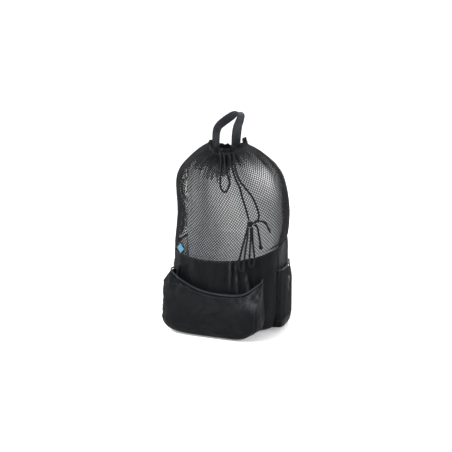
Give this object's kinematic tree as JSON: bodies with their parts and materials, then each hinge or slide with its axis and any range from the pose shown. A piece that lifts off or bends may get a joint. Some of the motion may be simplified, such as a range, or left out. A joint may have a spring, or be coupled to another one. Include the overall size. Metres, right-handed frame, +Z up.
{
  "type": "mesh drawstring backpack",
  "caption": "Standing mesh drawstring backpack: nylon base tub with boxed front pocket, net upper and side pockets, gathered mouth tied by a bowed cord, webbing handle and shoulder straps.",
  "frame": {"origin": "middle of the bag's bounding box at the floor, on the underside of the base; the front pocket faces -Y", "axes": "Z runs up the bag from its base to its mouth, X across it to its right side, Y from front to back"},
  "size_m": [0.3036, 0.2939, 0.5435],
  "materials": {
    "black_nylon": "matte",
    "black_net": "matte",
    "black_webbing": "matte",
    "black_cord": "matte",
    "blue_label": "satin"
  },
  "bodies": {
    "root": {"base_tub": "black_nylon", "net_body": "black_net", "mouth_hem": "black_nylon", "front_pocket": "black_nylon", "front_pocket_binding": "black_webbing", "side_pocket_right": "black_net", "side_pocket_right_hem": "black_webbing", "side_pocket_left": "black_net", "side_pocket_left_hem": "black_webbing", "grab_handle": "black_webbing", "shoulder_strap_right": "black_webbing", "shoulder_strap_left": "black_webbing", "label_tab": "blue_label", "cord_strand_left": "black_cord", "cord_strand_right": "black_cord", "cord_bight": "black_cord", "bow_loop_left": "black_cord", "bow_loop_right": "black_cord", "cord_end_right": "black_cord", "cord_end_left": "black_cord", "cord_knot": "black_cord", "cord_tip_knot": "black_cord"}
  },
  "joints": []
}
